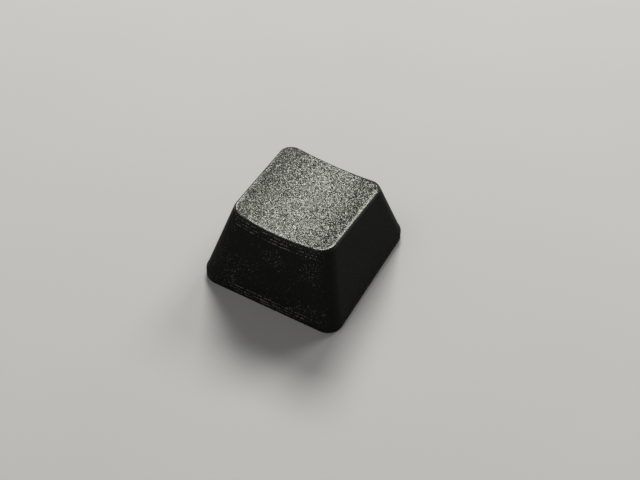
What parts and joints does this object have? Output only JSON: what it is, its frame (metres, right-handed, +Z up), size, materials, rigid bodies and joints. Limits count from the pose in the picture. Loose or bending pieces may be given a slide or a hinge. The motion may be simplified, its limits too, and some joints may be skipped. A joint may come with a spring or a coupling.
{
  "type": "keycap",
  "caption": "Square keycap with tapered walls, a sloping dished top and a hollow underside with a cross-shaped socket in a round post.",
  "frame": {"origin": "middle of the base, on the surface that the rim stands on", "axes": "+X to the right, +Y to the back, +Z up through the dished top; the taller edge of the top is at the front, -Y"},
  "size_m": [0.018, 0.018, 0.011],
  "materials": {
    "keycap_plastic": "fine-grained matte black"
  },
  "bodies": {
    "root": {"keycap": "keycap_plastic"}
  },
  "joints": []
}
